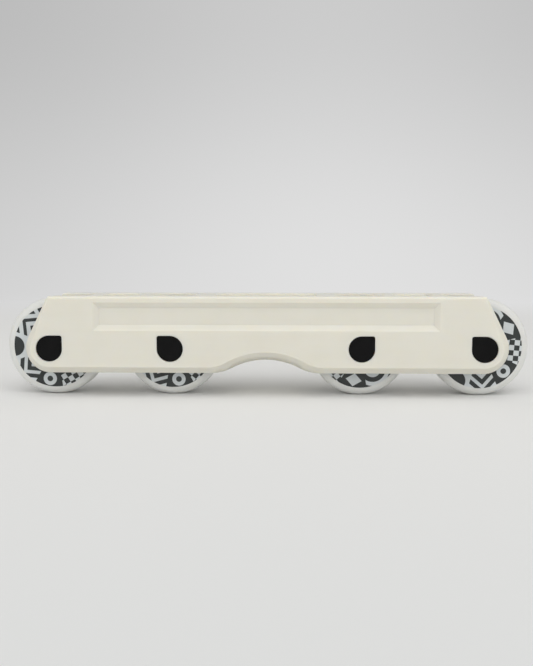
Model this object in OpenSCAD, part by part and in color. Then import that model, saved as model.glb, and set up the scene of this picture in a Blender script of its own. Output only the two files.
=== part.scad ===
// Inline skate frame for grinding, standing on its four wheels.
// X runs along the frame, Y across it and Z up. The origin is on the floor under the middle of the frame.

/* [Axles] */
// Distance between the two axles of each end pair
pair_pitch = 70.5; // [68:0.5:80]
// Distance between the two inner axles, with the grind arch between them
middle_pitch = 111; // [104:0.5:130]

/* [Frame walls] */
// Width over the outer faces of the two side walls
frame_w = 42; // [40:0.5:50]
// Width between the inner faces of the side walls
bay_w = 26; // [25.5:0.25:28]
// Height of the deck above the axles
deck_rise = 30.4; // [29:0.2:34]
// Thickness of the deck over the wheel bays
deck_t = 3.6; // [3:0.1:5]
// Radius of the wall ends about the outer axles, which is also the walls' depth below the axles
end_r = 14.5; // [12.5:0.1:15]
// Radius of the top corners of the side walls
corner_r = 1.6; // [1.4:0.1:3]
// Distance of each top corner's centre inward of the outer axle
corner_setback = 0.7; // [0:0.1:4]
// Clearance between a tyre and the round wall of its bay
bay_gap = 4; // [2.5:0.1:4.5]

/* [Edges] */
// Bevel along the lower outer edges
low_bevel = 3.8; // [2.5:0.1:4.2]
// Bevel along the top outer edges
top_bevel = 1; // [0.5:0.1:1.2]

/* [Grind arch] */
// Length of the arch along the frame
arch_len = 64; // [58:1:68]
// Height of the arch above the lower edge
arch_rise = 7.8; // [6:0.1:9]
// Radius of the crown of the arch
arch_r = 42; // [34:1:44]
// Bevel along the arch, which is wider than that of the lower edges
arch_bevel = 5; // [4:0.1:5.6]
// Distance past each end of the arch over which its bevel narrows to that of the lower edge
bevel_fade = 2; // [1:0.1:3]

/* [Side recess] */
// Length of the recess in each side wall
recess_len = 200; // [150:1:210]
// Height of the recess
recess_h = 16.4; // [12:0.2:17]
// Distance from the deck down to the recess
recess_drop = 3.4; // [2.5:0.1:5]
// Depth of the recess
recess_depth = 2; // [1:0.1:3]
// Width of the sloping border round the floor of the recess
recess_slope = 3.3; // [2:0.1:5]

/* [Deck openings] */
// Width of the openings and recesses in the deck
opening_w = 23; // [20.5:0.5:25]
// Length of the window over each inner wheel
window_len = 31; // [30:0.5:34]
// Radius of the ends of the openings
opening_end_r = 8; // [7:0.5:9]
// Reach of the end notches inward of the outer axles
notch_reach = 21.3; // [19:0.1:22]
// Length of the recess round each boot bolt
bolt_recess_len = 22; // [16:0.5:23]
// Distance of that recess's centre outward of the bolt
bolt_recess_shift = 3.5; // [0:0.5:4]
// Depth of the recess round each boot bolt
bolt_recess_depth = 1.5; // [0.5:0.1:2]
// Length of the recess in the middle of the deck
middle_recess_len = 60; // [40:1:64]
// Depth of the recess in the middle of the deck
middle_recess_depth = 2.5; // [1:0.1:3]
// Radius of the corners of the recesses
recess_corner_r = 5; // [2:0.5:8]

/* [Boot mount] */
// Distance between the two boot bolts
bolt_pitch = 167; // [160:0.5:172]
// Diameter of the holes for the boot bolts
bolt_hole_d = 6.5; // [5.5:0.1:7]
// Diameter of the counterbore under the deck for a bolt's head
bolt_head_d = 11.4; // [10:0.1:11.6]
// Thickness of the deck between a bolt's head and the recess
bolt_seat_t = 5; // [3:0.1:6]

/* [Wheel] */
// Diameter of the tyre
wheel_d = 58; // [55:0.5:60]
// Width of the tyre over its flat sides
tyre_w = 17.2; // [15:0.2:20]
// Radius of the tyre's shoulders
shoulder_r = 4.6; // [3:0.1:6]
// Diameter of the hub's rim, under the tyre
rim_d = 30; // [30:0.5:36]
// Diameter of the hub's keying flange inside the tyre
flange_d = 38; // [37:0.5:46]
// Width of the keying flange
flange_w = 6; // [4:0.2:8]
// Wall of the hub round its bearings
hub_wall = 2.8; // [2:0.1:3.2]
// Distance that the bearings stand proud of the hub
bearing_proud = 0.5; // [0.2:0.1:1]

/* [Bearings] */
// Outside diameter of a bearing
bearing_d = 22; // [21:0.5:24]
// Bore of a bearing
bore_d = 8; // [7:0.5:8.5]
// Width of a bearing
bearing_w = 7; // [6.6:0.1:7.4]
// Diameter of a ball
ball_d = 3.97; // [3.5:0.01:4.2]
// Number of balls in a bearing
ball_count = 7; // [6:1:8]
// Running clearance between a ball and its races and its cage
ball_gap = 0.08; // [0.06:0.01:0.1]
// Distance from the balls' pitch circle to the plain land of each ring
land_offset = 1.4; // [1.2:0.05:1.6]
// Thickness of a shield
shield_t = 0.4; // [0.3:0.05:0.6]
// Depth of a shield below the face of its bearing
shield_sink = 0.3; // [0.1:0.05:0.4]
// Width of the step in the outer ring that holds a shield
shield_step = 0.5; // [0.3:0.05:0.8]
// Clearance between a shield and the inner ring
shield_gap = 0.25; // [0.15:0.05:0.4]
// Radial thickness of a cage
cage_t = 1.2; // [0.8:0.1:1.6]
// Thickness of the ring of a cage beside its balls
cage_ring_t = 0.5; // [0.3:0.05:0.6]

/* [Axles and spacers] */
// Length of the spacer between the two bearings
spacer_len = 10.2; // [9.8:0.1:10.4]
// Outside diameter of the spacer
spacer_d = 11; // [10:0.1:12]
// Diameter of the axle's head
head_d = 11.4; // [10:0.1:12]
// Thickness of the axle's head
head_t = 3; // [2.5:0.1:3.2]
// Hexagon socket in the axle's head, across flats
socket_af = 5; // [4:0.5:6]
// Depth of the socket
socket_depth = 2.2; // [1.5:0.1:2.4]
// Diameter of the axle's thread
thread_d = 6; // [5:0.5:6.5]
// Hexagon nut, across flats
nut_af = 10; // [9:0.5:10.5]
// Thickness of the nut
nut_t = 4; // [3.5:0.1:4.2]
// Bevel on the ends of the axle
axle_bevel = 0.5; // [0.3:0.1:0.8]

/* [Plugs] */
// Radius of the round part of a plug
plug_r = 7.5; // [7:0.1:8]
// Radius of the pointed corner of a plug
plug_corner_r = 1.2; // [0.8:0.1:3]
// Depth of a plug's pocket in the side wall
pocket_depth = 6; // [5.8:0.1:6.4]
// Distance of a plug's face below the side wall's face
plug_sink = 0.3; // [0.1:0.1:0.5]
// Thickness of a near plug over the end of its nut
plug_skin = 1.2; // [0.8:0.1:1.5]
// Diameter of the nose that reaches through the wall to the bearing
nose_d = 10.8; // [10:0.1:11.4]

/* [Fits] */
// Clearance of a plug in its pocket
plug_gap = 0.1; // [0.05:0.01:0.2]
// Clearance of the axle in its bearings, spacer and plugs
axle_gap = 0.03; // [0.02:0.01:0.06]
// Clearance of the axle's head and nut in their seats
seat_gap = 0.1; // [0.05:0.01:0.2]

/* [Hidden] */
$fn = 96;

// Reach of a cutter past the face that it opens
over = 0.3;

// Axles
inner_x = middle_pitch / 2;
outer_x = inner_x + pair_pitch;
axle_x = [-outer_x, -inner_x, inner_x, outer_x];
axle_z = wheel_d / 2;
// Each plug's corner points to the other wheel of its pair
corner_side = [1, -1, 1, -1];

// Frame
half_w = frame_w / 2;
wall_in = bay_w / 2;
deck_z = axle_z + deck_rise;
low_z = axle_z - end_r;
bay_r = wheel_d / 2 + bay_gap;
corner_c = [outer_x - corner_setback, deck_z - corner_r];
// Angle of the sloping end: the common tangent of the end circle and the top corner
end_axis = corner_c - [outer_x, axle_z];
slope_angle = atan2(end_axis[1], end_axis[0]) - acos((end_r - corner_r) / norm(end_axis));
slope_normal = [cos(slope_angle), sin(slope_angle)];
slope_low = [outer_x, axle_z] + end_r * slope_normal;
slope_top = corner_c + corner_r * slope_normal;

// Lap of an arc over the edge that it runs into, so that it crosses it at a slight angle
arc_lap = 0.08;

// Arch: a crown arc that runs into a reversed arc at each end
arch_half = arch_len / 2;
arch_reach = (arch_half * arch_half + arch_rise * arch_rise) / (2 * arch_rise);
arch_angle = asin(arch_half / arch_reach);
arch_crown_z = low_z + arch_rise - arch_r;
arch_join = [0, arch_crown_z] + arch_r * [sin(arch_angle), cos(arch_angle)];
arch_end_z = low_z + arch_reach - arch_r;
arch_end_r = arch_reach - arch_r + arc_lap;
// Upper edge of the arch's bevel: an arc about the same centre, and at each end a reversed arc that comes
// down on the upper edge of the lower bevel, past the end of the arch
fade_x = arch_half + bevel_fade;
fade_rise = arch_rise + arch_bevel - low_bevel;
fade_reach = (fade_x * fade_x + fade_rise * fade_rise) / (2 * fade_rise);
fade_angle = asin(fade_x / fade_reach);
fade_z = low_z + low_bevel + fade_reach - arch_r - arch_bevel;
fade_r = fade_reach - arch_r - arch_bevel + arc_lap;

// Wheel and bearing, measured along the axle from the middle of the wheel
wheel_r = wheel_d / 2;
tyre_half = tyre_w / 2;
bearing_in = spacer_len / 2;
bearing_out = bearing_in + bearing_w;
bearing_mid = bearing_in + bearing_w / 2;
hub_half = bearing_out - bearing_proud;
bore_r = bore_d / 2;
pitch_r = (bearing_d + bore_d) / 4;
ball_r = ball_d / 2;
race_r = ball_r + ball_gap;
outer_land_r = pitch_r + land_offset;
inner_land_r = pitch_r - land_offset;

// Plugs and axle, measured the same way
plug_seat = half_w - pocket_depth;
plug_face = half_w - plug_sink;
nut_out = plug_face - plug_skin;
nut_in = nut_out - nut_t;
head_seat = plug_face - seat_gap - head_t;
shank_r = bore_r - axle_gap;
hex = 6;
hex_corner = 1 / cos(30);

// Placement

// Side view of the frame: x along the frame, y up, z outward from the mid-plane to one side wall
module side_view(side) {
    mirror([0, side > 0 ? 1 : 0, 0])
        rotate([90, 0, 0])
            children();
}

// The near side is -1 and the far side is 1
module both_sides() {
    for (side = [-1, 1])
        side_view(side)
            children();
}

// The same, with z = 0 on the wall's outer face
module at_wall_faces() {
    both_sides()
        translate([0, 0, half_w])
            children();
}

// A piece that turns about axle n: its own z runs along the axle to the far side
module at_axle(n) {
    translate([axle_x[n - 1], 0, axle_z])
        rotate([-90, 0, 0])
            children();
}

// A piece of each of the two bearings, mirrored about the middle of the wheel
module both_bearings() {
    for (flip = [0, 1])
        mirror([0, 0, flip])
            translate([0, 0, bearing_mid])
                children();
}

// Outlines

// Side of the frame: end circles and top corners joined by their common tangents
module wall_outline() {
    polygon([
        [-outer_x, low_z],
        [outer_x, low_z],
        slope_low,
        slope_top,
        [corner_c[0], deck_z],
        [-corner_c[0], deck_z],
        [-slope_top[0], slope_top[1]],
        [-slope_low[0], slope_low[1]],
    ]);
    for (side = [-1, 1]) {
        translate([side * outer_x, axle_z])
            circle(end_r);
        translate([side * corner_c[0], corner_c[1]])
            circle(corner_r);
    }
}

// Opening of the arch, from below the walls up to its crown: the crown's disc and what lies under it,
// less the discs of the two reversed arcs
module arch_outline() {
    foot = low_z - over;
    join = arch_join + over * [sin(arch_angle), cos(arch_angle)];
    difference() {
        union() {
            translate([0, arch_crown_z])
                circle(arch_r);
            polygon([
                [-arch_half, foot],
                [arch_half, foot],
                [arch_half, low_z],
                join,
                [-join[0], join[1]],
                [-arch_half, low_z],
            ]);
        }
        for (side = [-1, 1])
            translate([side * arch_half, arch_end_z])
                circle(arch_end_r);
    }
}

// Plug seen from outside, with its corner up and to the given side
module plug_outline(corner, grow = 0) {
    r = plug_r + grow;
    c = plug_corner_r + grow;
    mirror([corner > 0 ? 0 : 1, 0]) {
        circle(r);
        square([r, r - c]);
        square([r - c, r]);
        translate([r - c, r - c])
            circle(c);
    }
}

// Oval of four arcs for a window in the deck
module window_outline() {
    half_len = window_len / 2;
    half = opening_w / 2;
    e = opening_end_r;
    end_x = half_len - e;
    side_r = (end_x * end_x + half * half - e * e) / (2 * (half - e));
    drop = side_r - half;
    join_x = end_x * side_r / (side_r - e);
    intersection() {
        translate([0, drop])
            circle(side_r);
        translate([0, -drop])
            circle(side_r);
        square([2 * join_x, opening_w], center = true);
    }
    for (side = [-1, 1])
        translate([side * end_x, 0])
            circle(e);
}

// Rectangle about the origin with round corners
module round_rectangle(l, w, r) {
    square([l - 2 * r, w], center = true);
    square([l, w - 2 * r], center = true);
    for (x = [-1, 1], y = [-1, 1])
        translate([x * (l / 2 - r), y * (w / 2 - r)])
            circle(r);
}

// Edge cutters, in the side view with the wall's outer face at z = 0

// Wedge along a straight edge: the wall lies to the left of its direction
module line_bevel(from, angle, l, size) {
    translate(from)
        rotate(angle)
            rotate([90, 0, 90])
                linear_extrude(l)
                    polygon([[-over, over], [size + over, over], [-over, -size - over]]);
}

// Wedge along a straight edge whose size shrinks evenly by a taper per unit of length
module tapered_bevel(from, angle, l, size, taper) {
    normal = [taper, 1, -1];
    big = 3 * l;
    translate(from)
        rotate(angle)
            intersection() {
                translate([0, -over, -size - over])
                    cube([l, size + 2 * over, size + 2 * over]);
                translate([0, size, 0])
                    rotate([0, acos(normal[2] / norm(normal)), atan2(normal[1], normal[0])])
                        translate([-big / 2, -big / 2, -big])
                            cube(big);
            }
}

// Wedge along a round edge, with the wall inside the arc
module arc_bevel(centre, r, start, sweep, size) {
    translate(centre)
        rotate_extrude(angle = sweep, start = start)
            polygon([[r + over, over], [r - size - over, over], [r + over, -size - over]]);
}

// Wedge along a round edge, with the wall outside the arc
module hollow_arc_bevel(centre, r, start, sweep, size) {
    translate(centre)
        rotate_extrude(angle = sweep, start = start)
            polygon([[r - over, over], [r - over, -size - over], [r + size + over, over]]);
}

// Bevels on the straight edges of one side wall: lower edge, deck edge and sloping ends.
// Each runs on past the ends of its edge, where the next bevel takes more away.
module straight_bevels() {
    run_on = 3 * corner_r;
    foot_len = outer_x - arch_half + 2 * run_on;
    slope_len = norm(slope_top - slope_low);
    slope_dir = [-slope_normal[1], slope_normal[0]];
    taper = (low_bevel - top_bevel) / slope_len;
    line_bevel([arch_half - run_on, low_z], 0, foot_len, low_bevel);
    line_bevel([-outer_x - run_on, low_z], 0, foot_len, low_bevel);
    line_bevel([corner_c[0] + run_on, deck_z], 180, 2 * (corner_c[0] + run_on), top_bevel);
    for (flip = [0, 1])
        mirror([flip, 0])
            tapered_bevel(slope_low - run_on * slope_dir, slope_angle + 90, slope_len + 2 * run_on,
                          low_bevel + taper * run_on, taper);
}

// Bevels on the round ends and the ends of the arch. They cross the straight ones at a slight angle.
module round_bevels() {
    reach = 1.5 * arch_bevel;
    for (flip = [0, 1])
        mirror([flip, 0]) {
            arc_bevel([outer_x, axle_z], end_r, -90, 90 + slope_angle, low_bevel - arc_lap);
            arc_bevel([fade_x, fade_z], fade_r + reach, 270 - fade_angle, fade_angle, reach);
        }
}

// Bevel on the crown of the arch, which runs on a little past the join
module crown_bevel() {
    run_on = 3;
    sweep = fade_angle + run_on;
    hollow_arc_bevel([0, arch_crown_z], arch_r, 90 - sweep, 2 * sweep, arch_bevel);
}

// Recess in one side wall, with four sloping sides
module wall_recess() {
    l = recess_len / 2;
    h = recess_h / 2;
    grow = recess_slope * over / recess_depth;
    past = 4 * grow;
    translate([0, deck_z - recess_drop - h, 0])
        intersection() {
            rotate([90, 0, 90])
                linear_extrude(recess_len + past, center = true)
                    polygon([
                        [-h - grow, over],
                        [-h + recess_slope, -recess_depth],
                        [h - recess_slope, -recess_depth],
                        [h + grow, over],
                    ]);
            rotate([90, 0, 0])
                linear_extrude(recess_h + past, center = true)
                    polygon([
                        [-l - grow, over],
                        [-l + recess_slope, -recess_depth],
                        [l - recess_slope, -recess_depth],
                        [l + grow, over],
                    ]);
        }
}

// Cuts in the frame

// Round bay of one wheel, flat under the deck
module wheel_bay(n) {
    intersection() {
        at_axle(n)
            cylinder(r = bay_r, h = bay_w, center = true);
        translate([axle_x[n - 1] - bay_r - over, -bay_w, 0])
            cube([2 * (bay_r + over), 2 * bay_w, deck_z - deck_t]);
    }
}

// Pocket for a plug's body and the bore for its nose, in one side wall
module plug_pocket(n) {
    translate([axle_x[n - 1], axle_z, plug_seat])
        linear_extrude(pocket_depth + over)
            plug_outline(corner_side[n - 1], plug_gap);
    translate([axle_x[n - 1], axle_z, wall_in - over])
        cylinder(d = nose_d + 2 * plug_gap, h = plug_seat - wall_in + 2 * over);
}

// Openings through the deck for the tops of the wheels
module deck_windows() {
    floor_z = deck_z - 2 * deck_t;
    h = 2 * deck_t + over;
    notch_len = notch_reach + 2 * end_r;
    for (side = [-1, 1]) {
        translate([side * inner_x, 0, floor_z])
            linear_extrude(h)
                window_outline();
        translate([side * (outer_x - notch_reach + notch_len / 2), 0, floor_z])
            linear_extrude(h)
                round_rectangle(notch_len, opening_w, opening_end_r);
    }
}

// Shallow recesses in the top of the deck
module deck_recesses() {
    bolt_recess_x = bolt_pitch / 2 + bolt_recess_shift;
    translate([0, 0, deck_z - middle_recess_depth])
        linear_extrude(middle_recess_depth + over)
            round_rectangle(middle_recess_len, opening_w, recess_corner_r);
    for (side = [-1, 1])
        translate([side * bolt_recess_x, 0, deck_z - bolt_recess_depth])
            linear_extrude(bolt_recess_depth + over)
                round_rectangle(bolt_recess_len, opening_w, recess_corner_r);
}

// Holes for the two boot bolts, with a counterbore from the wheel bays
module bolt_holes() {
    seat_z = deck_z - bolt_recess_depth - bolt_seat_t;
    for (side = [-1, 1])
        translate([side * bolt_pitch / 2, 0, 0]) {
            translate([0, 0, axle_z])
                cylinder(d = bolt_hole_d, h = deck_rise + over);
            translate([0, 0, axle_z])
                cylinder(d = bolt_head_d, h = seat_z - axle_z);
        }
}

// Frame

// Solid block of the frame's outline, with the arch and the bevels of both walls
module frame_block() {
    difference() {
        difference() {
            difference() {
                rotate([90, 0, 0])
                    linear_extrude(frame_w, center = true)
                        difference() {
                            wall_outline();
                            arch_outline();
                        }
                at_wall_faces()
                    crown_bevel();
            }
            at_wall_faces()
                straight_bevels();
        }
        at_wall_faces()
            round_bevels();
    }
}

module frame() {
    color([0.85, 0.84, 0.78])
        difference() {
            frame_block();
            at_wall_faces()
                wall_recess();
            for (n = [1:4])
                wheel_bay(n);
            deck_windows();
            deck_recesses();
            bolt_holes();
            for (n = [1:4])
                both_sides()
                    plug_pocket(n);
        }
}

// Wheels

// Half section of a tyre: flat tread and sides with round shoulders, and the keyway of the hub's flange
module tyre_section() {
    flat_half = tyre_half - shoulder_r;
    shoulder_c = wheel_r - shoulder_r;
    difference() {
        union() {
            translate([rim_d / 2, -tyre_half])
                square([shoulder_c - rim_d / 2, tyre_w]);
            translate([rim_d / 2, -flat_half])
                square([wheel_r - rim_d / 2, 2 * flat_half]);
            for (side = [-1, 1])
                translate([shoulder_c, side * flat_half])
                    circle(shoulder_r);
        }
        translate([0, -flange_w / 2])
            square([flange_d / 2, flange_w]);
    }
}

// Half section of a hub: bearing seats, a web between them, a rim under the tyre and its keying flange
module hub_section() {
    seat_r = bearing_d / 2;
    boss_r = seat_r + hub_wall;
    right = [
        [outer_land_r, 0],
        [outer_land_r, bearing_in],
        [seat_r, bearing_in],
        [seat_r, hub_half],
        [boss_r, hub_half],
        [rim_d / 2, tyre_half],
        [rim_d / 2, flange_w / 2],
        [flange_d / 2, flange_w / 2],
    ];
    left = [for (k = [len(right) - 1:-1:1]) [right[k][0], -right[k][1]]];
    polygon(concat(right, left));
}

module tyre(n) {
    color([0.94, 0.94, 0.93])
        at_axle(n)
            rotate_extrude()
                tyre_section();
}

module hub(n) {
    color([0.80, 0.82, 0.83])
        at_axle(n)
            rotate_extrude()
                hub_section();
}

// Bearings

// Ring from its land to its outer or inner face, with the ball groove cut into the land
module ring_section(land, back) {
    difference() {
        translate([min(land, back), -bearing_w / 2])
            square([abs(back - land), bearing_w]);
        translate([pitch_r, 0])
            circle(race_r);
    }
}

module outer_rings(n) {
    step_depth = shield_sink + shield_t;
    color([0.72, 0.73, 0.75])
        at_axle(n)
            both_bearings()
                rotate_extrude()
                    difference() {
                        ring_section(outer_land_r, bearing_d / 2);
                        for (side = [0, 1])
                            mirror([0, side])
                                translate([outer_land_r - over, bearing_w / 2 - step_depth])
                                    square([shield_step + over, step_depth + over]);
                    }
}

module inner_rings(n) {
    color([0.72, 0.73, 0.75])
        at_axle(n)
            both_bearings()
                rotate_extrude()
                    ring_section(inner_land_r, bore_r);
}

// Balls of one bearing on their pitch circle
module ball_circle(r) {
    for (k = [0:ball_count - 1])
        rotate(k * 360 / ball_count)
            translate([pitch_r, 0, 0])
                sphere(r);
}

module balls(n) {
    color([0.8, 0.81, 0.82])
        at_axle(n)
            both_bearings()
                ball_circle(ball_r);
}

// Crown cages: a ring beside the balls with fingers between them
module cages(n) {
    low = -ball_r / 2;
    high = race_r + cage_ring_t;
    color([0.62, 0.5, 0.3])
        at_axle(n)
            both_bearings()
                difference() {
                    translate([0, 0, low])
                        cylinder(r = pitch_r + cage_t / 2, h = high - low);
                    translate([0, 0, low - over])
                        cylinder(r = pitch_r - cage_t / 2, h = high - low + 2 * over);
                    ball_circle(race_r);
                }
}

module shields(n) {
    color([0.55, 0.56, 0.58])
        at_axle(n)
            both_bearings()
                for (side = [0, 1])
                    mirror([0, 0, side])
                        translate([0, 0, bearing_w / 2 - shield_sink - shield_t])
                            difference() {
                                cylinder(r = outer_land_r + shield_step, h = shield_t);
                                translate([0, 0, -over])
                                    cylinder(r = inner_land_r + shield_gap, h = shield_t + 2 * over);
                            }
}

// Axles, spacers and plugs

module spacer(n) {
    color([0.75, 0.76, 0.78])
        at_axle(n)
            difference() {
                cylinder(d = spacer_d, h = spacer_len, center = true);
                cylinder(d = bore_d, h = spacer_len + 2 * over, center = true);
            }
}

// Headed bolt: the head lies in the far plug and the thread in the nut of the near plug
module axle(n) {
    thread_end = -nut_out + axle_gap;
    thread_r = thread_d / 2 - axle_gap;
    color([0.6, 0.61, 0.63])
        at_axle(n)
            difference() {
                union() {
                    translate([0, 0, -nut_in])
                        cylinder(r = shank_r, h = nut_in + head_seat);
                    translate([0, 0, thread_end + axle_bevel])
                        cylinder(r = thread_r, h = nut_t);
                    translate([0, 0, thread_end])
                        cylinder(r1 = thread_r - axle_bevel, r2 = thread_r, h = axle_bevel);
                    translate([0, 0, head_seat])
                        cylinder(d = head_d, h = head_t - axle_bevel);
                    translate([0, 0, head_seat + head_t - axle_bevel])
                        cylinder(r1 = head_d / 2, r2 = head_d / 2 - axle_bevel, h = axle_bevel);
                }
                translate([0, 0, head_seat + head_t - socket_depth])
                    cylinder(d = socket_af * hex_corner, h = socket_depth + over, $fn = hex);
            }
}

module axle_nut(n) {
    color([0.7, 0.58, 0.32])
        at_axle(n)
            translate([0, 0, -nut_out])
                difference() {
                    cylinder(d = nut_af * hex_corner, h = nut_t, $fn = hex);
                    translate([0, 0, -over])
                        cylinder(d = thread_d, h = nut_t + 2 * over);
                }
}

// Plug body in its pocket, with a nose through the wall to the bearing's inner ring
module plug_blank(n) {
    translate([axle_x[n - 1], axle_z, plug_seat])
        linear_extrude(plug_face - plug_seat)
            plug_outline(corner_side[n - 1]);
    translate([axle_x[n - 1], axle_z, bearing_out])
        cylinder(d = nose_d, h = plug_seat - bearing_out);
}

// Near plug: closed outside, moulded round the nut
module nut_plug(n) {
    color([0.06, 0.06, 0.06])
        side_view(-1)
            difference() {
                plug_blank(n);
                translate([axle_x[n - 1], axle_z, bearing_out - over])
                    cylinder(d = bore_d, h = nut_in - bearing_out + 2 * over);
                translate([axle_x[n - 1], axle_z, nut_in])
                    cylinder(d = nut_af * hex_corner, h = nut_t, $fn = hex);
            }
}

// Far plug: bored through for the axle, with a round seat for its head
module head_plug(n) {
    color([0.06, 0.06, 0.06])
        side_view(1)
            difference() {
                plug_blank(n);
                translate([axle_x[n - 1], axle_z, bearing_out - over])
                    cylinder(d = bore_d, h = plug_face - bearing_out);
                translate([axle_x[n - 1], axle_z, head_seat])
                    cylinder(d = head_d + 2 * seat_gap, h = head_t + over);
            }
}

frame();
for (n = [1:4]) {
    tyre(n);
    hub(n);
    outer_rings(n);
    inner_rings(n);
    balls(n);
    cages(n);
    shields(n);
    spacer(n);
    axle(n);
    axle_nut(n);
    nut_plug(n);
    head_plug(n);
}
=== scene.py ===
"""Dresses the packed inline skate frame: nylon moulding, printed wheels, metal pieces, plugs and studio."""

import math

import bpy
import numpy as np
from bpy.props import (
    FloatProperty,
    FloatVectorProperty,
    IntProperty,
    PointerProperty,
)
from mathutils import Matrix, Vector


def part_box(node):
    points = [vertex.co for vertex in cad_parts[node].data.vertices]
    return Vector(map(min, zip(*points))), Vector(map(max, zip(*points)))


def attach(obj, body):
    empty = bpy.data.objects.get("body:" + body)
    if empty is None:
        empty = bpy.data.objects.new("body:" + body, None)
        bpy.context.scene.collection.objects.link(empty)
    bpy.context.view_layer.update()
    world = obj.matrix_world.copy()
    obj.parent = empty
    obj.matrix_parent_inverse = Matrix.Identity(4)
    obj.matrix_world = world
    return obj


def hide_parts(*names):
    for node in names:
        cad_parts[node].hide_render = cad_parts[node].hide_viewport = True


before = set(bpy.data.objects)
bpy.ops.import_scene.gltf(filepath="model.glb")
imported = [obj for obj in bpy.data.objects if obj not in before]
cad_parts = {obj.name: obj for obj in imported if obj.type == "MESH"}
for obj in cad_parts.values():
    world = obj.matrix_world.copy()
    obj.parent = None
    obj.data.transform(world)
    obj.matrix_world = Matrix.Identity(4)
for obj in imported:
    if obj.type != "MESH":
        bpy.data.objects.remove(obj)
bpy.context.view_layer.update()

bl_info = {
    "name": "Inline skate frame",
    "version": (1, 0, 0),
    "blender": (4, 5, 0),
    "location": "View3D > Sidebar > Skate",
    "description": "Finishes the pieces of an inline skate frame and sets its studio",
    "category": "Object",
}

MM = 0.001
WHEELS = (1, 2, 3, 4)
# Height of the photograph's frame in pixels
PHOTO_HEIGHT = 666
# Points of a CAD mesh that are closer than this are one point
WELD_GAP = 0.002 * MM
# Triangles that meet at less than this angle are one flat face
FLAT_ANGLE = math.radians(0.5)
# Edges sharper than this are rounded, in this number of faces, unless a piece has its own values
SHARP_ANGLE = math.radians(25)
EDGE_STEPS = 2
# Points that lie this close to a piece's largest radius count as lying on it
NEAR = 0.01 * MM
# Width of the camera's sensor in millimetres
SENSOR = 36.0


# Settings


def colour(name, description, default):
    """A colour setting, in linear light."""
    return FloatVectorProperty(
        name=name, description=description, subtype="COLOR", size=3, min=0.0, max=1.0, default=default
    )


def length(name, description, default):
    """A length setting, given in millimetres and kept in metres."""
    return FloatProperty(
        name=name, description=description, unit="LENGTH", subtype="DISTANCE", min=0.0, precision=5,
        default=default * MM,
    )


def share(name, description, default):
    """A setting from 0 to 1."""
    return FloatProperty(
        name=name, description=description, subtype="FACTOR", min=0.0, max=1.0, default=default
    )


def angle(name, description, default):
    """An angle setting, given in degrees and kept in radians."""
    return FloatProperty(
        name=name, description=description, unit="ROTATION", subtype="ANGLE",
        default=math.radians(default),
    )


def count(name, description, default, least=1):
    """A setting that is a whole number."""
    return IntProperty(name=name, description=description, min=least, default=default)


def level(name, description, default, least=0.0):
    """A setting without an upper end, such as a light's strength or a ratio."""
    return FloatProperty(name=name, description=description, min=least, default=default)


def power(name, description, default):
    """A lamp's power, in watts."""
    return FloatProperty(name=name, description=description, unit="POWER", min=0.0, default=default)


def point(name, description, default):
    """A place, in metres."""
    return FloatVectorProperty(
        name=name, description=description, size=3, subtype="TRANSLATION", unit="LENGTH", default=default
    )


def extent(name, description, default):
    """A width and a depth, in metres."""
    return FloatVectorProperty(name=name, description=description, size=2, unit="LENGTH", default=default)


class FrameFinish(bpy.types.PropertyGroup):
    """Looks of the moulded frame"""

    nylon: colour("Nylon", "Main colour of the moulding", (0.752, 0.735, 0.661))
    nylon_flow: colour("Flow colour", "Colour of the flow marks in the moulding", (0.71, 0.685, 0.58))
    roughness: share("Roughness", "Roughness of the moulded skin", 0.42)
    gloss: share("Gloss", "Share of light that the skin mirrors", 0.4)
    scatter: share("Scatter", "Share of light that scatters inside the nylon", 0.6)
    scatter_depth: length("Scatter depth", "Distance that red light scatters", 4)
    scatter_tint: colour("Scatter tint", "Reach of each colour against red", (1.0, 0.85, 0.6))
    edge_round: length("Edge round", "Radius on the square edges of the moulding", 0.4)
    edge_angle: angle("Edge angle", "Edges sharper than this are rounded", 60)
    edge_steps: count("Edge steps", "Faces across a rounded edge", 3)
    flow_size: length("Flow size", "Size of the cloudy flow marks", 17)
    flow_stretch: level("Flow stretch", "Length of the streaks against the clouds", 4.0, least=1.0)
    flow_clouds: share("Flow clouds", "Share of clouds in the flow marks, the rest being streaks", 0.6)
    flow_share: share("Flow share", "Strength of the flow marks", 0.35)
    grain_size: length("Grain size", "Size of the moulded grain", 0.35)
    grain_depth: length("Grain depth", "Depth of the moulded grain", 0.012)


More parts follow.
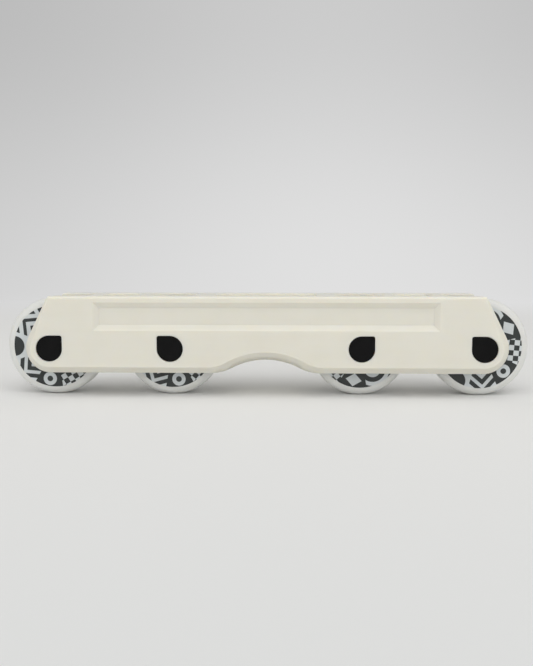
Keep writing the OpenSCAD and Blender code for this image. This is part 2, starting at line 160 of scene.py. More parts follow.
class WheelFinish(bpy.types.PropertyGroup):
    """Looks of the tyres and hubs"""

    urethane: colour("Urethane", "Colour of the cast tyre", (0.70, 0.71, 0.70))
    urethane_warm: colour("Warm urethane", "Colour of the clouds in the cast tyre", (0.679, 0.678, 0.651))
    print_ground: colour("Print ground", "Pale ground of the printed disc", (0.635, 0.668, 0.678))
    print_ink: colour("Print ink", "Ink of the printed motifs", (0.026, 0.030, 0.0295))
    hub: colour("Hub", "Colour of the moulded hub", (0.70, 0.72, 0.73))
    print_edge: length("Print edge", "Outer radius of the printed disc", 24.4)
    print_turns: FloatVectorProperty(
        name="Print turns", description="Turn of the print on each wheel", size=4, unit="ROTATION",
        default=tuple(math.radians(turn) for turn in (20, 0, 100, -35)),
    )
    print_cells: count("Print cells", "Motifs round the printed disc", 9, least=6)
    print_skin: length("Print skin", "Depth from the flat sides at which the print ends", 0.3)
    cloud_size: length("Cloud size", "Size of the clouds in the urethane", 9)
    speck_size: length("Speck size", "Size of the specks in the skin and the print", 0.35)
    speck_depth: length("Speck depth", "Depth of the specks and of the hub's grain", 0.01)
    hub_cloud: length("Hub cloud", "Size of the clouds in the hub", 6)
    hub_grain: length("Hub grain", "Size of the hub's grain", 0.3)
    roughness: share("Roughness", "Roughness halfway between bare urethane and print", 0.36)
    hub_roughness: share("Hub roughness", "Roughness of the hub", 0.41)
    scatter: share("Scatter", "Share of light that scatters inside the urethane", 0.7)
    scatter_depth: length("Scatter depth", "Distance that red light scatters", 8)
    scatter_tint: colour("Scatter tint", "Reach of each colour against red", (1.0, 0.95, 0.85))
    gloss: share("Gloss", "Share of light that the tyre mirrors", 0.45)
    lip_round: length("Lip round", "Radius on the tyre's lips at the hub", 0.4)
    seam_depth: length("Seam depth", "Depth of the mould seam round the tread", 0.12)
    steps: count("Steps", "Steps round a tyre", 192, least=48)
    corner_steps: count("Corner steps", "Points on each rounded corner of a tyre's section", 13)


class MetalFinish(bpy.types.PropertyGroup):
    """Looks of the bearings, axles, spacers and nuts"""

    bearing_steel: colour("Bearing steel", "Ground steel of the rings and balls", (0.60, 0.61, 0.63))
    shield_steel: colour("Shield steel", "Pressed steel of the shields", (0.42, 0.43, 0.45))
    cage_brass: colour("Cage brass", "Pressed brass of the cages", (0.62, 0.42, 0.17))
    nut_brass: colour("Nut brass", "Turned brass of the nuts", (0.68, 0.49, 0.20))
    axle_steel: colour("Axle steel", "Plated steel of the axles", (0.48, 0.49, 0.51))
    spacer_aluminium: colour("Spacer aluminium", "Turned aluminium of the spacers", (0.70, 0.71, 0.73))
    bearing_steel_roughness: share("Bearing roughness", "Roughness of the ground steel", 0.24)
    shield_steel_roughness: share("Shield roughness", "Roughness of the shields", 0.34)
    cage_brass_roughness: share("Cage roughness", "Roughness of the cages", 0.32)
    nut_brass_roughness: share("Nut roughness", "Roughness of the nuts", 0.3)
    axle_steel_roughness: share("Axle roughness", "Roughness of the plated axles", 0.36)
    spacer_aluminium_roughness: share("Spacer roughness", "Roughness of the spacers", 0.3)
    line_pitch: length("Line pitch", "Distance between the marks of turning and grinding", 0.3)
    line_depth: length("Line depth", "Depth of those marks", 0.006)
    line_share: share("Line share", "Share of those marks in the dull colour, the rest being stains", 0.6)
    stain_size: length("Stain size", "Size of the faint stains", 5)
    dulling: share("Dulling", "Brightness of dull metal against bare metal", 0.78)
    edge_round: length("Edge round", "Radius on the edges of axles and nuts", 0.2)


class PlugFinish(bpy.types.PropertyGroup):
    """Looks of the axle plugs"""

    nylon: colour("Nylon", "Black nylon of the plugs", (0.004, 0.004, 0.0042))
    nylon_worn: colour("Bloom", "Pale bloom on the black nylon", (0.009, 0.009, 0.0094))
    roughness: share("Roughness", "Roughness of the plugs", 0.5)
    gloss: share("Gloss", "Share of light that the plugs mirror", 0.1)
    edge_round: length("Edge round", "Radius on the plugs' edges", 0.35)
    grain_size: length("Grain size", "Size of the spark-eroded grain", 0.5)
    grain_depth: length("Grain depth", "Depth of the spark-eroded grain", 0.03)
    bloom_size: length("Bloom size", "Size of the patches of bloom", 4)


class StudioSettings(bpy.types.PropertyGroup):
    """Floor, backdrop, lamps and camera"""

    floor: colour("Floor", "Colour of the floor round the object", (0.825, 0.825, 0.817))
    # Painted shade: the floor is made darker towards the camera
    floor_front_shade: colour("Floor front", "Colour of the floor near the camera", (0.77, 0.78, 0.78))
    # The backdrop glows as painted light, with painted shade that darkens it up high and away from its
    # bright side
    backdrop: colour("Backdrop", "Colour of the backdrop at the floor", (0.745, 0.745, 0.745))
    backdrop_top_shade: colour("Backdrop top", "Colour of the backdrop high up", (0.60, 0.60, 0.60))
    bright_side: length("Bright side", "Place of the backdrop's brightest part, right of the object", 150)
    falloff: share("Falloff", "Share of the backdrop's light lost far from its brightest part", 0.19)
    falloff_reach: length("Falloff reach", "Distance over which that light is lost", 1200)
    backdrop_rise: length("Backdrop rise", "Height at which the backdrop has its top colour", 800)
    # Where the floor's painted shade towards the camera starts, and where it is full
    front_start: length("Front start", "Distance in front at which the front colour starts", 50)
    front_full: length("Front full", "Distance at which the front colour is full", 400)
    shadow_reach: length("Shadow reach", "Radius of the floor that takes the shadow in full", 450)
    shadow_end: length("Shadow end", "Radius at which the floor has become the backdrop", 950)
    floor_radius: length("Floor radius", "Radius of the flat floor", 1100)
    bend_radius: length("Bend radius", "Radius of the bend from the floor up to the wall", 700)
    wall_height: length("Wall height", "Height of the wall", 2400)
    sweep_steps: count("Sweep steps", "Steps round the floor and wall", 128)
    sweep_rings: count("Sweep rings", "Steps across the floor, and up the bend", 24)
    sky: colour("Sky", "Colour of the soft light all round", (1.0, 0.995, 0.98))
    ambient: level("Ambient", "Strength of the light round the front", 1.08)
    ambient_back: level("Ambient behind", "Strength of the light round the back", 0.5)
    top_power: power("Top lamp", "Power of the lamp above", 1.85)
    top_place: point("Top lamp place", "Place of the lamp above", (0.0, -0.3, 1.1))
    top_aim: point("Top lamp aim", "Point at which the lamp above is aimed", (0.0, 0.0, 0.0))
    top_size: extent("Top lamp size", "Size of the lamp above", (1.3, 0.7))
    key_power: power("Key lamp", "Power of the lamp up in front", 1.4)
    key_place: point("Key lamp place", "Place of the lamp up in front", (0.25, -0.7, 0.95))
    key_aim: point("Key lamp aim", "Point at which the lamp up in front is aimed", (0.0, 0.0, 0.03))
    key_size: extent("Key lamp size", "Size of the lamp up in front", (1.3, 0.5))
    camera_place: point("Camera place", "Place of the camera", (11.56 * MM, -457.3 * MM, 85.6 * MM))
    camera_pitch: angle("Camera pitch", "Angle that the camera looks down", 6.157)
    camera_yaw: angle("Camera yaw", "Angle that the camera looks aside", 1.441)
    camera_clip: length("Camera clip", "Distance within which the camera sees nothing", 10)
    focal_pixels: level("Focal length", "Focal length in pixels of the photograph", 762.9)


SETTINGS = {
    "skate_frame": FrameFinish,
    "skate_wheels": WheelFinish,
    "skate_metal": MetalFinish,
    "skate_plugs": PlugFinish,
    "skate_studio": StudioSettings,
}


# Shader maths


class Field:
    """A shader socket that joins in Python expressions: every operator adds one Math node."""

    def __init__(self, finish, socket):
        self.finish = finish
        self.socket = socket

    def other(self, name):
        """Another output of the same node."""
        return Field(self.finish, self.socket.node.outputs[name])

    def math(self, operation, *values):
        """One Math node on fields or numbers."""
        return self.finish.node("ShaderNodeMath", {"operation": operation}, dict(enumerate(values)))

    def __add__(self, value):
        return self.math("ADD", self, value)

    def __sub__(self, value):
        return self.math("SUBTRACT", self, value)

    def __rsub__(self, value):
        return self.math("SUBTRACT", value, self)

    def __mul__(self, value):
        return self.math("MULTIPLY", self, value)

    def __truediv__(self, value):
        return self.math("DIVIDE", self, value)

    def __rtruediv__(self, value):
        return self.math("DIVIDE", value, self)

    def __pow__(self, value):
        return self.math("POWER", self, value)

    def __mod__(self, value):
        return self.math("FLOORED_MODULO", self, value)

    def __lt__(self, value):
        return self.math("LESS_THAN", self, value)

    def __gt__(self, value):
        return self.math("GREATER_THAN", self, value)

    def __and__(self, value):
        return self.math("MINIMUM", self, value)

    def __or__(self, value):
        return self.math("MAXIMUM", self, value)

    def __abs__(self):
        return self.math("ABSOLUTE", self)

    def __floor__(self):
        return self.math("FLOOR", self)

    def equals(self, value):
        """1 where this is within a half of the value, and 0 elsewhere."""
        return self.math("COMPARE", self, value, 0.5)

    def angle_to(self, value):
        """Angle at which the point (value, this) lies about the origin."""
        return self.math("ARCTAN2", self, value)

    def hypot(self, value):
        """Distance of the point (this, value) from the origin."""
        return (self * self + value * value) ** 0.5

    __radd__ = __add__
    __rmul__ = __mul__


class Finish:
    """A material, or a world, under construction."""

    def __init__(self, name, store=None):
        self.owner = (bpy.data.materials if store is None else store).new(name)
        self.owner.use_nodes = True
        self.tree = self.owner.node_tree
        self.tree.nodes.clear()

    def node(self, kind, settings=None, sockets=None, output=0):
        """Adds a node: first its settings, then the values or links of its sockets. Gives one output."""
        made = self.tree.nodes.new(kind)
        for name, value in (settings or {}).items():
            setattr(made, name, value)
        for key, value in (sockets or {}).items():
            socket = made.inputs[key]
            if isinstance(value, Field):
                self.tree.links.new(value.socket, socket)
            elif isinstance(value, tuple) and len(value) == 3 and socket.type == "RGBA":
                socket.default_value = (*value, 1.0)
            else:
                socket.default_value = value
        return Field(self, made.outputs[output]) if len(made.outputs) else None

    def place(self, centre=(0.0, 0.0, 0.0), turn=(0.0, 0.0, 0.0), scale=(1.0, 1.0, 1.0)):
        """Object coordinates about a centre, turned back by the turn and divided by the scale."""
        source = self.node("ShaderNodeTexCoord", output="Object")
        sockets = {"Vector": source, "Location": centre, "Rotation": turn, "Scale": scale}
        return self.node("ShaderNodeMapping", {"vector_type": "TEXTURE"}, sockets)

    def axes(self, vector):
        """The three parts of a vector."""
        split = self.node("ShaderNodeSeparateXYZ", None, {0: vector})
        return split, split.other("Y"), split.other("Z")

    def noise(self, size, detail=2.0, roughness=0.5):
        """Soft noise from 0 to 1 with features of one size, or of a size along each axis."""
        vector = self.place(scale=size if isinstance(size, tuple) else (size,) * 3)
        sockets = {"Vector": vector, "Scale": 1.0, "Detail": detail, "Roughness": roughness}
        return self.node("ShaderNodeTexNoise", None, sockets)

    def mix(self, factor, low, high):
        """A colour that runs from low to high with the factor."""
        return self.node("ShaderNodeMix", {"data_type": "RGBA"}, {0: factor, 6: low, 7: high}, output=2)

    def ramp(self, value, low, high):
        """0 below low, 1 above high and smooth between."""
        sockets = {"Value": value, "From Min": low, "From Max": high}
        return self.node("ShaderNodeMapRange", {"interpolation_type": "SMOOTHSTEP"}, sockets)

    def bump(self, height, depth, strength=1.0):
        """The surface normal tilted by a height from 0 to 1 that is so deep."""
        sockets = {"Height": height, "Distance": depth, "Strength": strength}
        return self.node("ShaderNodeBump", None, sockets)

    def surface(self, sockets):
        """Ends the material in a Principled shader."""
        shader = self.node("ShaderNodeBsdfPrincipled", None, sockets)
        return self.output(shader)

    def output(self, shader, kind="ShaderNodeOutputMaterial"):
        """Ends the nodes in their output, and gives the finished material or world."""
        self.node(kind, None, {"Surface": shader})
        return self.owner


# Finishes


def shaded(shade, factor):
    """A colour made darker or paler by a factor."""
    return tuple(part * factor for part in shade)


def around(middle, *swings):
    """A value about its middle, swung by fields from 0 to 1, each with the width of its swing."""
    total = middle - sum(width for field, width in swings) / 2
    for field, width in swings:
        total = field * width + total
    return total


def moulded_nylon(look):
    """Cream nylon: cloudy flow marks, streaks along the frame and a fine moulded grain."""
    finish = Finish("moulded_nylon")
    size, stretch = look.flow_size, look.flow_stretch
    cloud = finish.noise(size, detail=3.0)
    streak = finish.noise((size * stretch, size / stretch, size / stretch))
    # Noise below the first level leaves no mark, and above the second a full one
    faint, full = 0.35, 0.75
    flow = finish.ramp(cloud * look.flow_clouds + streak * (1 - look.flow_clouds), faint, full)
    grain = finish.noise(look.grain_size, detail=3.0, roughness=0.6)
    return finish.surface({
        "Base Color": finish.mix(flow * look.flow_share, tuple(look.nylon), tuple(look.nylon_flow)),
        "Roughness": around(look.roughness, (flow, 0.08), (grain, 0.06)),
        "Subsurface Weight": look.scatter,
        "Subsurface Radius": tuple(look.scatter_tint),
        "Subsurface Scale": look.scatter_depth,
        "Specular IOR Level": look.gloss,
        "Normal": finish.bump(grain, look.grain_depth, strength=0.6),
    })


def printed_disc(finish, look, rim, centre, turn, half):
    """Masks of the ink and of the whole printed disc, about one wheel's axle and in millimetres.

    The disc is one ring of cells round the axle. Across a cell p runs sideways and q outwards from its
    middle, both straight. The cells take turns through the motifs, and from the third cell on every
    other one is light on dark.
    """
    x, y, z = finish.axes(finish.place(centre, (0.0, turn, 0.0), (MM, MM, MM)))
    radius = x.hypot(z)
    low, high = rim / MM, look.print_edge / MM
    turns = (z.angle_to(x) / (2 * math.pi) + 0.5) * look.print_cells
    cell = math.floor(turns)
    slant = (turns - cell - 0.5) * (2 * math.pi / look.print_cells)
    p = radius * slant.math("SINE", slant)
    q = radius * slant.math("COSINE", slant) - (low + high) / 2
    motifs = ring_motifs(p, q, (high - low) / 2)
    pick = cell % float(len(motifs))
    drawn = 0.0
    for number, motif in enumerate(motifs):
        drawn = motif * pick.equals(float(number)) + drawn
    dark = (cell % 2.0 < 0.5) & (cell > 1.0)
    ink = abs(dark - drawn)
    disc = (radius < high) & (radius > low) & (abs(y) > (half - look.print_skin) / MM)
    return ink, disc


def ring_motifs(p, q, rise):
    """Half disc, chevrons, ring, checks, diamond, arcs and bars in a cell that reaches from -rise to rise.

    Sizes are in millimetres. What repeats has a pitch, a shift along it and the share that is drawn.
    """
    half_disc = 6.0
    chevron_pitch, chevron_shift, chevron_share = 6.2, 0.15, 0.55
    ring_outside, ring_inside = 4.0, 1.7
    check = 3.1
    diamond_across, diamond_up = 4.8, 3.9
    arc_pitch, arc_shift, arc_share = 5.2, 0.1, 0.55
    bar_pitch, bar_shift, bar_share, bar_up = 4.4, 0.25, 0.45, 3.0
    outer = p.hypot(q - rise)
    inner = p.hypot(q + rise)
    middle = p.hypot(q)
    checks = math.floor(p / check) + math.floor(q / check)
    return (
        outer < half_disc,
        ((q + abs(p)) / chevron_pitch + chevron_shift) % 1.0 < chevron_share,
        (middle < ring_outside) & (middle > ring_inside),
        checks % 2.0 < 0.5,
        abs(p) / diamond_across + abs(q) / diamond_up < 1.0,
        (inner / arc_pitch + arc_shift) % 1.0 < arc_share,
        ((p / bar_pitch + bar_shift) % 1.0 < bar_share) & (abs(q) < bar_up),
    )


def cast_urethane(look, number, rim, centre, turn, half):
    """White cast urethane, a little clear, with the printed disc on its flat sides."""
    finish = Finish(f"cast_urethane_{number}")
    cloud = finish.noise(look.cloud_size)
    speck = finish.noise(look.speck_size, roughness=0.6)
    ink, disc = printed_disc(finish, look, rim, centre, turn, half)
    # What the specks do to the brightness of the print's ground and ink
    ground_dull, ground_pale, ink_pale = 0.94, 1.05, 1.5
    bare = finish.mix(cloud, tuple(look.urethane), tuple(look.urethane_warm))
    pale = finish.mix(speck, shaded(look.print_ground, ground_dull), shaded(look.print_ground, ground_pale))
    dark = finish.mix(speck, tuple(look.print_ink), shaded(look.print_ink, ink_pale))
    return finish.surface({
        "Base Color": finish.mix(disc, bare, finish.mix(ink, pale, dark)),
        "Roughness": around(look.roughness, (cloud, 0.06), (disc, 0.12)),
        "Subsurface Weight": look.scatter,
        "Subsurface Radius": tuple(look.scatter_tint),
        "Subsurface Scale": look.scatter_depth,
        "Specular IOR Level": look.gloss,
        "Normal": finish.bump(speck, look.speck_depth, strength=0.5),
    })


def moulded_hub(look):
    """Pale moulded core plastic with a faint cloud and a satin grain."""
    finish = Finish("moulded_hub")
    cloud = finish.noise(look.hub_cloud)
    grain = finish.noise(look.hub_grain)
    cloud_dull = 0.92
    return finish.surface({
        "Base Color": finish.mix(cloud, tuple(look.hub), shaded(look.hub, cloud_dull)),
        "Roughness": around(look.hub_roughness, (grain, 0.1)),
        "Normal": finish.bump(grain, look.speck_depth, strength=0.5),
    })


def turned_metal(look, name):
    """Metal of a name, with fine rings about the nearest axle and faint stains."""
    finish = Finish(name)
    shade = getattr(look, name)
    roughness = getattr(look, f"{name}_roughness")
    pitch = look.line_pitch
    x, y, z = finish.axes(finish.place())
    axles = [wheel_centre(number) for number in WHEELS]
    squares = [(x - axle[0]) ** 2 + (z - axle[2]) ** 2 for axle in axles]
    nearest = (squares[0] & squares[1]) & (squares[2] & squares[3])
    marks = finish.node("ShaderNodeCombineXYZ", None, {0: nearest ** 0.5 / pitch, 1: y / pitch})
    rings = finish.node(
        "ShaderNodeTexNoise", {"noise_dimensions": "2D"}, {"Vector": marks, "Scale": 1.0, "Detail": 3.0}
    )
    stain = finish.noise(look.stain_size, detail=3.0)
    worn = rings * look.line_share + stain * (1 - look.line_share)
    return finish.surface({
        "Base Color": finish.mix(worn, tuple(shade), shaded(shade, look.dulling)),
        "Metallic": 1.0,
        "Roughness": around(roughness, (rings, 0.14), (stain, 0.1)),
        "Normal": finish.bump(rings, look.line_depth, strength=0.5),
    })


def black_nylon(look):
    """Black nylon with a spark-eroded grain and a faint pale bloom."""
    finish = Finish("black_nylon")
    grain = finish.noise(look.grain_size, detail=4.0, roughness=0.65)
    bloom = finish.noise(look.bloom_size, detail=3.0)
    return finish.surface({
        "Base Color": finish.mix(bloom * grain, tuple(look.nylon), tuple(look.nylon_worn)),
        "Roughness": around(look.roughness, (grain, 0.16)),
        "Specular IOR Level": look.gloss,
        "Normal": finish.bump(grain, look.grain_depth, strength=0.8),
    })


def studio_sweep(look):
    """Floor that takes the shadow near the object and turns further out into a glowing backdrop, seen only
    by the camera, in reflections and through clear things, with painted shade that darkens it up high and
    away from its bright side.
    """
    finish = Finish("studio_sweep")
    x, y, z = finish.axes(finish.place())
    # Painted shade: the glowing backdrop darkens up high and away from its bright side
    high_shade = finish.ramp(z, 0.0, look.backdrop_rise)
    dim = finish.ramp(abs(x - look.bright_side), 0.0, look.falloff_reach) * look.falloff
    shade = finish.mix(high_shade, tuple(look.backdrop), tuple(look.backdrop_top_shade))
    shade = finish.mix(dim, shade, (0.0, 0.0, 0.0))
    rays = finish.node("ShaderNodeLightPath", output="Is Camera Ray")
    seen = rays | rays.other("Is Glossy Ray") | rays.other("Is Transmission Ray")
    glow = finish.node("ShaderNodeEmission", None, {"Color": shade, "Strength": 1.0})
    clear = finish.node("ShaderNodeBsdfTransparent")
    backdrop = finish.node("ShaderNodeMixShader", None, {0: seen, 1: clear, 2: glow})
    # Painted shade: the floor's colour darkens towards the camera
    front = finish.ramp(y * -1.0, look.front_start, look.front_full)
    ground = finish.mix(front, tuple(look.floor), tuple(look.floor_front_shade))
    matte = finish.node("ShaderNodeBsdfDiffuse", None, {"Color": ground, "Roughness": 0.0})
    away = finish.ramp(x.hypot(y), look.shadow_reach, look.shadow_end)
    return finish.output(finish.node("ShaderNodeMixShader", None, {0: away, 1: matte, 2: backdrop}))


# Shapes


def wheel_centre(number):
    """Middle of one wheel, from its tyre's box."""
    low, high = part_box(f"wheel_{number}_tyre")
    return tuple((low + high) / 2)


def around_axle(node, centre):
    """Radius about an axle and distance along it of every point of a CAD node."""
    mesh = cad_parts[node].data
    points = np.empty(len(mesh.vertices) * 3, np.float32)
    mesh.vertices.foreach_get("co", points)
    offset = points.reshape(-1, 3) - np.array(centre)
    return np.hypot(offset[:, 0], offset[:, 2]), offset[:, 1]


def rounded_outline(corners, radii, steps):
    """Closed outline through corners, each replaced by an arc of its radius.

    At a corner between unit directions a (to the one before) and b (to the one after), with half angle h,
    the arc's centre lies r / sin h along the bisector and the arc turns through 180 degrees less 2 h.
    """
    corners = np.asarray(corners, float)
    radii = np.asarray(radii, float)[:, None]
    before = np.roll(corners, 1, axis=0) - corners
    after = np.roll(corners, -1, axis=0) - corners
    before /= np.linalg.norm(before, axis=1, keepdims=True)
    after /= np.linalg.norm(after, axis=1, keepdims=True)
    half = np.arccos(np.clip((before * after).sum(1, keepdims=True), -1, 1)) / 2
    bisector = before + after
    bisector /= np.linalg.norm(bisector, axis=1, keepdims=True)
    centres = corners + bisector * radii / np.sin(half)
    sweep = (math.pi / 2 - half) * np.linspace(-1, 1, steps)
    sideways = after - before
    sideways /= np.linalg.norm(sideways, axis=1, keepdims=True)
    arcs = (
        centres[:, None, :]
        - bisector[:, None, :] * (radii * np.cos(sweep))[:, :, None]
        + sideways[:, None, :] * (radii * np.sin(sweep))[:, :, None]
    )
    return arcs.reshape(-1, 2)


def revolved(outline, steps, closed):
    """Points and quads of an outline of (radius, distance along) turned about Z.

    Point (i, j) is outline i turned by j steps: radius times the cosine, radius times the sine, and the
    distance along. Quads join neighbours, all the way round Z, and round the outline if it is closed.
    """
    turn = np.linspace(0, 2 * math.pi, steps, endpoint=False)
    radius, along = outline[:, 0, None], outline[:, 1, None]
    points = np.stack(np.broadcast_arrays(radius * np.cos(turn), radius * np.sin(turn), along), axis=-1)
    rows = len(outline)
    i, j = np.meshgrid(np.arange(rows if closed else rows - 1), np.arange(steps), indexing="ij")
    k = (i + 1) % rows
    m = (j + 1) % steps
    quads = np.stack([i * steps + j, k * steps + j, k * steps + m, i * steps + m], axis=-1)
    return points.reshape(-1, 3), quads.reshape(-1, 4)


def solid_mesh(name, points, quads):
    """Smooth mesh of an array of points and an array of quads."""
    mesh = bpy.data.meshes.new(name)
    mesh.vertices.add(len(points))
    mesh.vertices.foreach_set("co", points.astype(np.float32).ravel())
    mesh.loops.add(quads.size)
    mesh.loops.foreach_set("vertex_index", quads.astype(np.int32).ravel())
    mesh.polygons.add(len(quads))
    mesh.polygons.foreach_set("loop_start", np.arange(0, quads.size, 4, dtype=np.int32))
    mesh.update(calc_edges=True)
    mesh.validate()
    mesh.shade_smooth()
    return mesh


def placed(name, mesh, material):
    """Object of a mesh with one material, linked into the scene."""
    mesh.materials.append(material)
    piece = bpy.data.objects.new(name, mesh)
    bpy.context.scene.collection.objects.link(piece)
    return piece


def paint(node, material):
    """Gives a CAD node its finish."""
    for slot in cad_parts[node].material_slots:
        slot.material = material


def even_normals(piece):
    """Lets the large faces of a piece lead its shading."""
    normals = piece.modifiers.new("Normals", "WEIGHTED_NORMAL")
    normals.keep_sharp = True


def soften(node, width, sharp=SHARP_ANGLE, segments=EDGE_STEPS):
    """Welds a CAD node's loose triangles, joins the flat ones and rounds edges sharper than an angle."""
    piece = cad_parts[node]
    weld = piece.modifiers.new("Weld", "WELD")
    weld.merge_threshold = WELD_GAP
    flat = piece.modifiers.new("Flat", "DECIMATE")
    flat.decimate_type = "DISSOLVE"
    flat.angle_limit = FLAT_ANGLE
    bevel = piece.modifiers.new("Round", "BEVEL")
    bevel.width = width
    bevel.segments = segments
    bevel.limit_method = "ANGLE"
    bevel.angle_limit = sharp
    bevel.use_clamp_overlap = False
    bevel.loop_slide = False
    even_normals(piece)


# Operators


class SKATE_OT_dress_frame(bpy.types.Operator):
    """Give the moulded frame its nylon finish and round its edges"""

    bl_idname = "skate.dress_frame"
    bl_label = "Dress frame"

    def execute(self, context):
        look = context.scene.skate_frame
        paint("frame", moulded_nylon(look))
        soften("frame", look.edge_round, look.edge_angle, look.edge_steps)
        return {"FINISHED"}


class SKATE_OT_build_tyres(bpy.types.Operator):
    """Build the four printed tyres over their plain solids"""

    bl_idname = "skate.build_tyres"
    bl_label = "Build tyres"

    def execute(self, context):
        look = context.scene.skate_wheels
        for number in WHEELS:
            self.build(look, number)
        return {"FINISHED"}

    def build(self, look, number):
        """One tyre: its CAD node's section, turned about the axle, with rounded lips and a mould seam."""
        node = f"wheel_{number}_tyre"
        name = f"printed_tyre_{number}"
        centre = wheel_centre(number)
        radius, along = around_axle(node, centre)
        hub_radius, hub_along = around_axle(f"wheel_{number}_hub", centre)
        wheel, rim, half, key = radius.max(), radius.min(), along.max(), hub_radius.max()
        tread = np.abs(along[radius > wheel - NEAR]).max()
        key_half = np.abs(hub_along[hub_radius > key - NEAR]).max()
        seam = look.seam_depth
        corners = [
            (rim, -half), (wheel, -half),
            (wheel, -2 * seam), (wheel - seam, 0.0), (wheel, 2 * seam),
            (wheel, half), (rim, half),
            (rim, key_half), (key, key_half), (key, -key_half), (rim, -key_half),
        ]
        lip, shoulder, tight = look.lip_round, half - tread, seam / 2
        radii = [lip, shoulder, tight, tight, tight, shoulder, lip, tight, tight, tight, tight]
        outline = rounded_outline(corners, radii, look.corner_steps)
        points, quads = revolved(outline, look.steps, closed=True)
        # The axle lies along Y
        points = points[:, [0, 2, 1]] + np.array(centre)
        turn = look.print_turns[number - 1]
        material = cast_urethane(look, number, rim + lip, centre, turn, half)
        tyre = placed(name, solid_mesh(name, points, quads), material)
        even_normals(tyre)
        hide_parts(node)
        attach(tyre, f"wheel_{number}")


class SKATE_OT_dress_hubs(bpy.types.Operator):
    """Give the wheel hubs their moulded finish"""

    bl_idname = "skate.dress_hubs"
    bl_label = "Dress hubs"

    def execute(self, context):
        material = moulded_hub(context.scene.skate_wheels)
        for number in WHEELS:
            paint(f"wheel_{number}_hub", material)
        return {"FINISHED"}


class SKATE_OT_dress_bearings(bpy.types.Operator):
    """Give the rings, balls, cages and shields of the bearings their metals"""

    bl_idname = "skate.dress_bearings"
    bl_label = "Dress bearings"

    def execute(self, context):
        look = context.scene.skate_metal
        steel = turned_metal(look, "bearing_steel")
        pressed = turned_metal(look, "shield_steel")
        brass = turned_metal(look, "cage_brass")
        for number in WHEELS:
            for piece in ("outer_rings", "inner_rings", "balls"):
                paint(f"wheel_{number}_{piece}", steel)
            paint(f"wheel_{number}_shields", pressed)
            paint(f"wheel_{number}_cages", brass)
        return {"FINISHED"}


class SKATE_OT_dress_axles(bpy.types.Operator):
    """Give the axles, spacers and nuts their metals and round their edges"""

    bl_idname = "skate.dress_axles"
    bl_label = "Dress axles"

    def execute(self, context):
        look = context.scene.skate_metal
        metals = {
            "axle": turned_metal(look, "axle_steel"),
            "spacer": turned_metal(look, "spacer_aluminium"),
            "axle_nut": turned_metal(look, "nut_brass"),
        }
        for number in WHEELS:
            for piece, metal in metals.items():
                node = f"wheel_{number}_{piece}"
                paint(node, metal)
                soften(node, look.edge_round)
        return {"FINISHED"}


class SKATE_OT_dress_plugs(bpy.types.Operator):
    """Give the axle plugs their black nylon and round their edges"""

    bl_idname = "skate.dress_plugs"
    bl_label = "Dress plugs"

    def execute(self, context):
        look = context.scene.skate_plugs
        material = black_nylon(look)
        for number in WHEELS:
            for piece in ("nut_plug", "head_plug"):
                node = f"wheel_{number}_{piece}"
                paint(node, material)
                soften(node, look.edge_round)
        return {"FINISHED"}


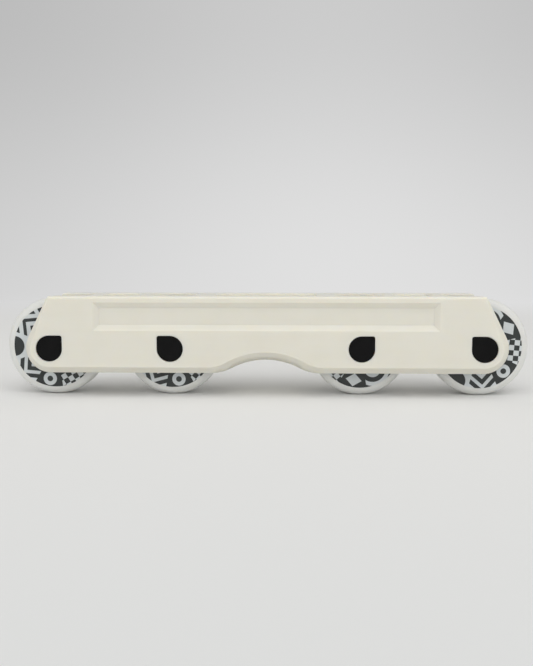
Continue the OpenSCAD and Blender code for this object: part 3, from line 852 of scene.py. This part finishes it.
class SKATE_OT_set_stage(bpy.types.Operator):
    """Set the floor, backdrop, lamps and camera"""

    bl_idname = "skate.set_stage"
    bl_label = "Set stage"

    def execute(self, context):
        scene = context.scene
        look = scene.skate_studio
        self.set_sweep(look)
        self.set_world(scene, look)
        self.set_lamp(scene, "top_lamp", look.top_power, look.top_place, look.top_aim, look.top_size)
        self.set_lamp(scene, "key_lamp", look.key_power, look.key_place, look.key_aim, look.key_size)
        self.set_camera(scene, look)
        scene.view_settings.view_transform = "Standard"
        return {"FINISHED"}

    def set_sweep(self, look):
        """Bowl of revolution about Z: a flat floor, a quarter arc and an upright wall."""
        flat, bend, rings = look.floor_radius, look.bend_radius, look.sweep_rings
        arc = np.linspace(0, math.pi / 2, rings + 1)[1:]
        radius = np.concatenate([np.linspace(0, flat, rings), flat + bend * np.sin(arc), [flat + bend]])
        rise = np.concatenate([np.zeros(rings), bend - bend * np.cos(arc), [look.wall_height]])
        outline = np.stack([radius, rise], axis=1)
        mesh = solid_mesh("studio_sweep", *revolved(outline, look.sweep_steps, closed=False))
        placed("studio_sweep", mesh, studio_sweep(look))

    def set_world(self, scene, look):
        """Soft light from all round, whose strength changes smoothly from the back to the front."""
        finish = Finish("studio", bpy.data.worlds)
        y = finish.axes(finish.node("ShaderNodeTexCoord", output="Generated"))[1]
        # The light changes where the forward part of a direction is between these
        back, ahead = -0.2, 0.6
        front = finish.ramp(y * -1.0, back, ahead)
        strength = front * (look.ambient - look.ambient_back) + look.ambient_back
        sky = finish.node("ShaderNodeBackground", None, {"Color": tuple(look.sky), "Strength": strength})
        scene.world = finish.output(sky, "ShaderNodeOutputWorld")

    def set_lamp(self, scene, name, watts, place, target, size):
        """Soft box at a place, aimed at a target and hidden from the camera."""
        lamp = bpy.data.lights.new(name, "AREA")
        lamp.shape = "RECTANGLE"
        lamp.size, lamp.size_y = size
        lamp.energy = watts
        stand = bpy.data.objects.new(name, lamp)
        stand.visible_camera = False
        stand.location = place
        aim = np.array(target) - np.array(place)
        tilt = math.atan2(math.hypot(aim[0], aim[1]), -aim[2])
        stand.rotation_euler = (tilt, 0.0, math.atan2(-aim[0], aim[1]))
        scene.collection.objects.link(stand)

    def set_camera(self, scene, look):
        """Camera at the photograph's place, turned and with the focal length as there."""
        lens = bpy.data.cameras.new("camera")
        lens.sensor_width = SENSOR
        lens.lens = look.focal_pixels * SENSOR / PHOTO_HEIGHT
        lens.clip_start = look.camera_clip
        camera = bpy.data.objects.new("camera", lens)
        camera.location = look.camera_place
        camera.rotation_euler = (math.pi / 2 - look.camera_pitch, 0.0, look.camera_yaw)
        scene.collection.objects.link(camera)
        scene.camera = camera


STEPS = (
    SKATE_OT_dress_frame,
    SKATE_OT_build_tyres,
    SKATE_OT_dress_hubs,
    SKATE_OT_dress_bearings,
    SKATE_OT_dress_axles,
    SKATE_OT_dress_plugs,
    SKATE_OT_set_stage,
)


class SKATE_PT_pieces(bpy.types.Panel):
    """Lists the steps that dress the skate frame"""

    bl_idname = "SKATE_PT_pieces"
    bl_label = "Inline skate frame"
    bl_space_type = "VIEW_3D"
    bl_region_type = "UI"
    bl_category = "Skate"

    def draw(self, context):
        for step in STEPS:
            self.layout.operator(step.bl_idname)
        for name, group in SETTINGS.items():
            box = self.layout.box()
            box.label(text=group.__doc__)
            for prop in group.__annotations__:
                box.prop(getattr(context.scene, name), prop)


CLASSES = (*SETTINGS.values(), *STEPS, SKATE_PT_pieces)


def register():
    """Registers the classes and gives the scene its settings."""
    for cls in CLASSES:
        bpy.utils.register_class(cls)
    for name, group in SETTINGS.items():
        setattr(bpy.types.Scene, name, PointerProperty(type=group))


def unregister():
    """Takes back what register does."""
    for name in SETTINGS:
        delattr(bpy.types.Scene, name)
    for cls in reversed(CLASSES):
        bpy.utils.unregister_class(cls)


def main():
    """Dresses the frame, step by step."""
    register()
    for step in STEPS:
        group, name = step.bl_idname.split(".")
        getattr(getattr(bpy.ops, group), name)()


if __name__ == "__main__":
    main()
